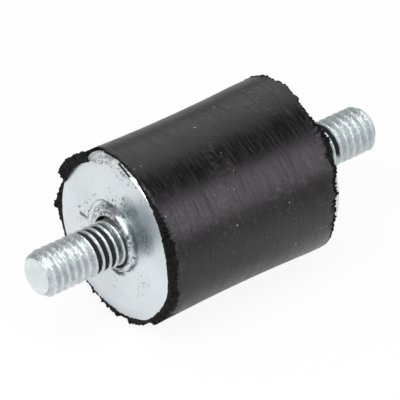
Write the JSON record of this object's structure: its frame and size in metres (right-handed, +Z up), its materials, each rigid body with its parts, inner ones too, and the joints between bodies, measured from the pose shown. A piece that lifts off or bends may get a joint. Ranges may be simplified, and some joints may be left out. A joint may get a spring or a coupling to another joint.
{
  "type": "bobbin vibration mount",
  "caption": "Cylindrical rubber vibration mount with a zinc-plated steel plate bonded into each end and a threaded male stud standing out of each plate.",
  "frame": {"origin": "on the studs' axis, in the crest of the front plate's collar, where the front stud's thread starts", "axes": "+X along the axis from the front plate to the rear plate, +Z up as the mount lies on its side"},
  "size_m": [0.0691, 0.0305, 0.0301],
  "materials": {
    "rubber": "matt black moulded rubber with torn flash at the rims",
    "plated_plate": "satin bright zinc plating",
    "plated_stud": "bright zinc plating on a rolled thread"
  },
  "bodies": {
    "root": {"rubber_body": "rubber", "front_plate": "plated_plate", "front_stud": "plated_stud", "rear_plate": "plated_plate", "rear_stud": "plated_stud"}
  },
  "joints": []
}
